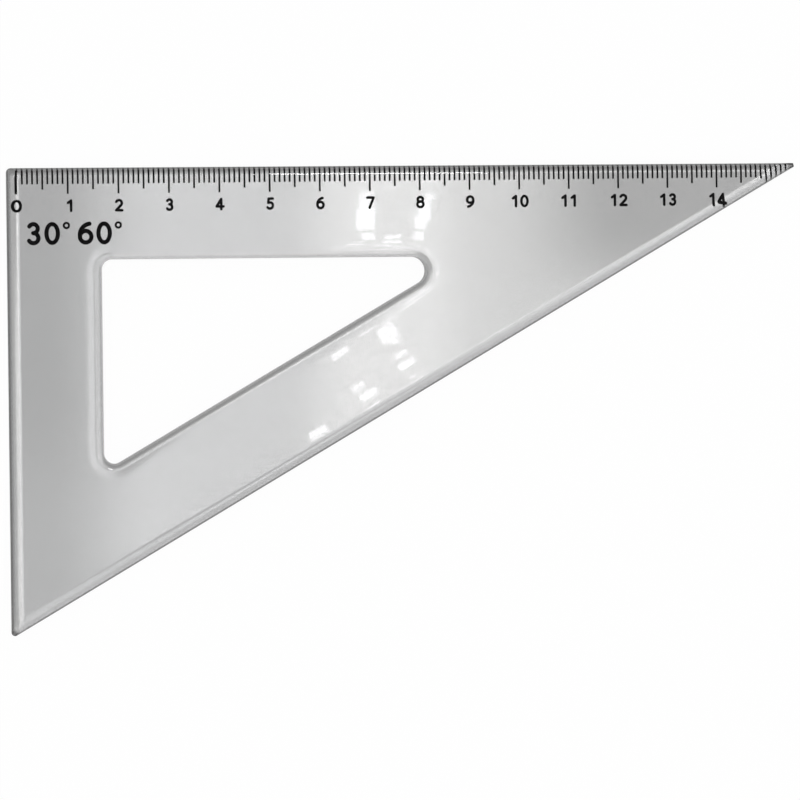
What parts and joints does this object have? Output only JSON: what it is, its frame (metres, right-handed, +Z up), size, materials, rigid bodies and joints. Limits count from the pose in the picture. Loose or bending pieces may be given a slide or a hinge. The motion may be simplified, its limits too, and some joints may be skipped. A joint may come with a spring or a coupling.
{
  "type": "set square",
  "caption": "Right-angled 30/60 degree set square: clear flat plate with rolled upper rims, a triangular window and a black centimetre scale along the long leg.",
  "frame": {"origin": "middle of the plate's footprint, on its flat underside", "axes": "+X along the long leg towards the acute tip, +Y towards the scale edge, +Z up out of the flat underside"},
  "size_m": [0.1582, 0.0914, 0.0022],
  "materials": {
    "clear_plastic": "clear, glossy, slightly grey",
    "black_print": "opaque foil print"
  },
  "bodies": {
    "root": {"plate": "clear_plastic", "millimetre_lines": "black_print", "half_centimetre_lines": "black_print", "centimetre_lines": "black_print", "numeral_0": "black_print", "numeral_1": "black_print", "numeral_2": "black_print", "numeral_3": "black_print", "numeral_4": "black_print", "numeral_5": "black_print", "numeral_6": "black_print", "numeral_7": "black_print", "numeral_8": "black_print", "numeral_9": "black_print", "numeral_10": "black_print", "numeral_11": "black_print", "numeral_12": "black_print", "numeral_13": "black_print", "numeral_14": "black_print", "angle_mark": "black_print"}
  },
  "joints": []
}
